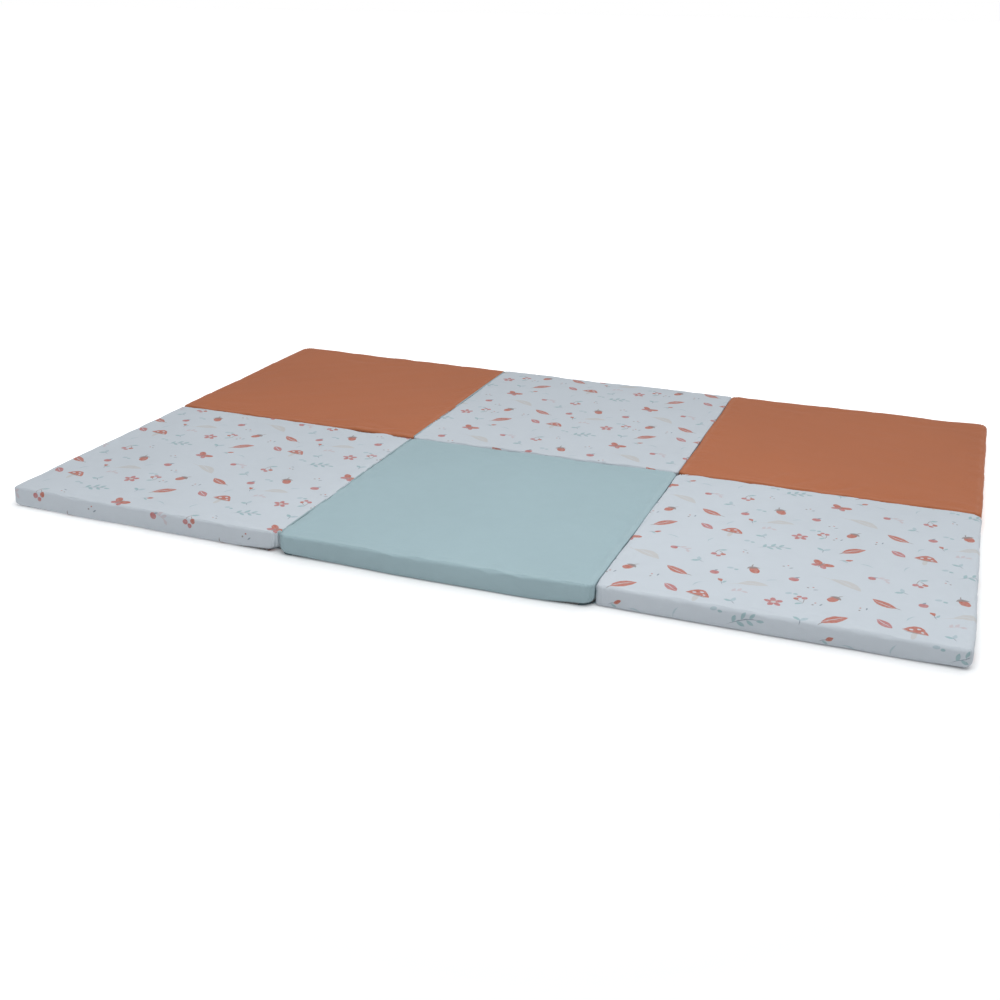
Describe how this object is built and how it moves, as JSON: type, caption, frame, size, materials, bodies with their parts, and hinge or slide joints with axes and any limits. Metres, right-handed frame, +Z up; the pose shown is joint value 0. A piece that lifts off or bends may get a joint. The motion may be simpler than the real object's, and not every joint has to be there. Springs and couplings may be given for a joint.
{
  "type": "baby play mat",
  "caption": "Rectangular padded nursery play mat of square foam panels in tight cloth covers, joined edge to edge by cloth hinges and lying open on the floor.",
  "frame": {"origin": "on the floor, under the middle of the mat's bounding box", "axes": "+X along the row of three panels, +Y from the front row to the back row, +Z up from the floor"},
  "size_m": [1.7994, 1.224, 0.04],
  "materials": {
    "printed_cloth": "matt printed cotton, pale bluish white with small terracotta, rose and grey-green motifs",
    "terracotta_cloth": "matt plain cotton, terracotta",
    "sage_cloth": "matt plain cotton, pale sage blue",
    "hinge_cloth": "matt plain doubled cotton"
  },
  "bodies": {
    "root": {"panel_left_front": "printed_cloth", "panel_left_back": "terracotta_cloth", "panel_mid_front": "sage_cloth", "panel_mid_back": "printed_cloth", "panel_right_front": "printed_cloth", "panel_right_back": "terracotta_cloth", "hinge_left_front": "hinge_cloth", "hinge_left_back": "hinge_cloth", "hinge_right_front": "hinge_cloth", "hinge_right_back": "hinge_cloth", "hinge_rows_left": "hinge_cloth"}
  },
  "joints": []
}
